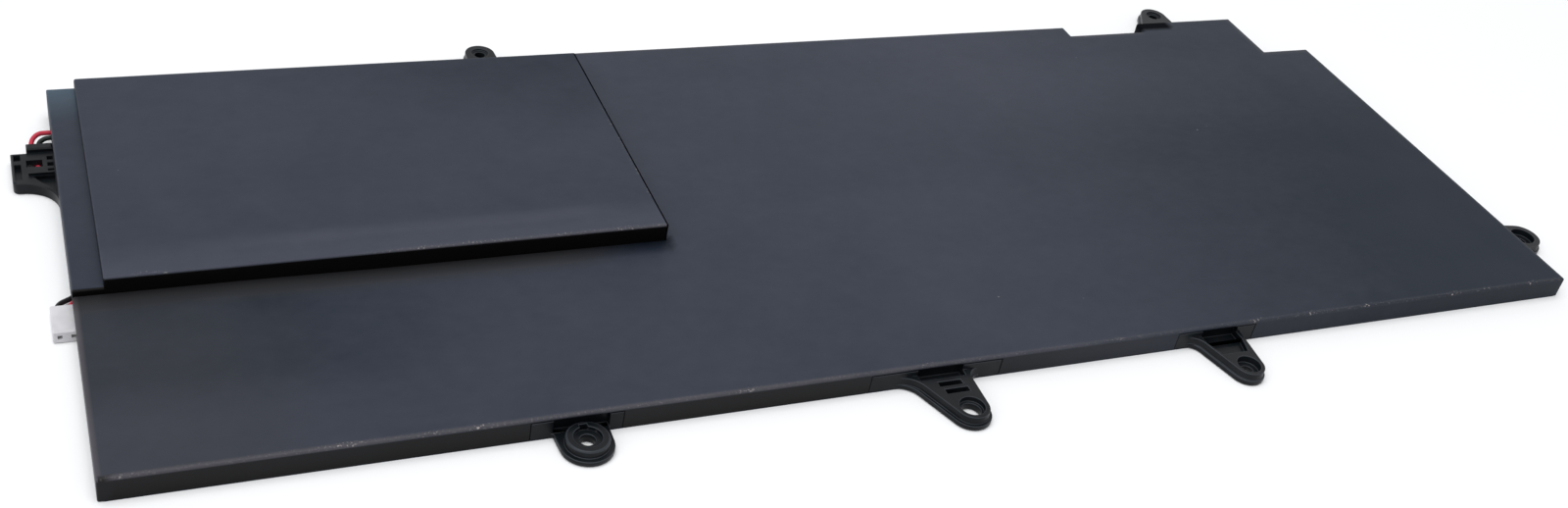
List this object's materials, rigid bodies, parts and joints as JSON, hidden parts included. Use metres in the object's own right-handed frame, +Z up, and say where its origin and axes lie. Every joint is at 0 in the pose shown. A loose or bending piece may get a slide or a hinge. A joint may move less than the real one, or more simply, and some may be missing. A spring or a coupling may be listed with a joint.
{
  "type": "laptop battery",
  "caption": "Thin internal laptop battery pack: film-wrapped slab with a raised block, screw lugs round its edges and a plug on short leads.",
  "frame": {"origin": "middle of the slab's underside, halfway along its long and short sides", "axes": "+X along the long side to the end with one lug, +Y to the edge with the shallow recess, +Z up through the raised block"},
  "size_m": [0.2923, 0.1274, 0.0079],
  "materials": {
    "frame_plastic": "moulded, fine grain",
    "dark_film": "matt wrapping film, charcoal slate",
    "black_plastic": "moulded, semi-gloss black",
    "pad_tape": "double-sided foam tape",
    "tab_metal": "bare cell tab",
    "nickel_strip": "nickel strip, spot welded",
    "board_laminate": "green solder mask on laminate",
    "chip_black": "moulded chip package",
    "resistor_metal": "alloy strip on a ceramic body",
    "fuse_body": "ceramic fuse body",
    "capacitor_ceramic": "ceramic capacitor with plated ends",
    "sensor_bead": "film-wrapped bead",
    "red_sleeve": "soft insulation, red",
    "black_sleeve": "soft insulation, black",
    "dark_sleeve": "soft insulation, black",
    "white_nylon": "moulded nylon, milky white",
    "contact_metal": "tin-plated contact",
    "pouch_foil": "laminated pouch foil, satin"
  },
  "bodies": {
    "root": {"back_cell_middle": "pouch_foil", "back_cell_right": "pouch_foil", "back_lug_left": "black_plastic", "back_lug_right": "black_plastic", "block_film": "dark_film", "board_cover": "dark_film", "bottom_film": "dark_film", "bus_strips": "nickel_strip", "capacitors": "capacitor_ceramic", "cell_pads": "pad_tape", "cell_tabs": "tab_metal", "chip_fuse": "fuse_body", "circuit_board": "board_laminate", "end_bracket": "black_plastic", "frame": "frame_plastic", "front_cell_left": "pouch_foil", "front_cell_right": "pouch_foil", "front_lug_left": "black_plastic", "front_lug_middle": "black_plastic", "front_lug_right": "black_plastic", "gauge_chip": "chip_black", "lead_black": "black_sleeve", "lead_red": "red_sleeve", "plug_contacts": "contact_metal", "plug_housing": "white_nylon", "resistors": "chip_black", "right_end_lug": "black_plastic", "sense_resistor": "resistor_metal", "signal_leads": "dark_sleeve", "stack_cell_lower": "pouch_foil", "stack_cell_upper": "pouch_foil", "stack_pad": "pad_tape", "switch_transistors": "chip_black", "temperature_sensor": "sensor_bead", "top_film": "dark_film"}
  },
  "joints": []
}
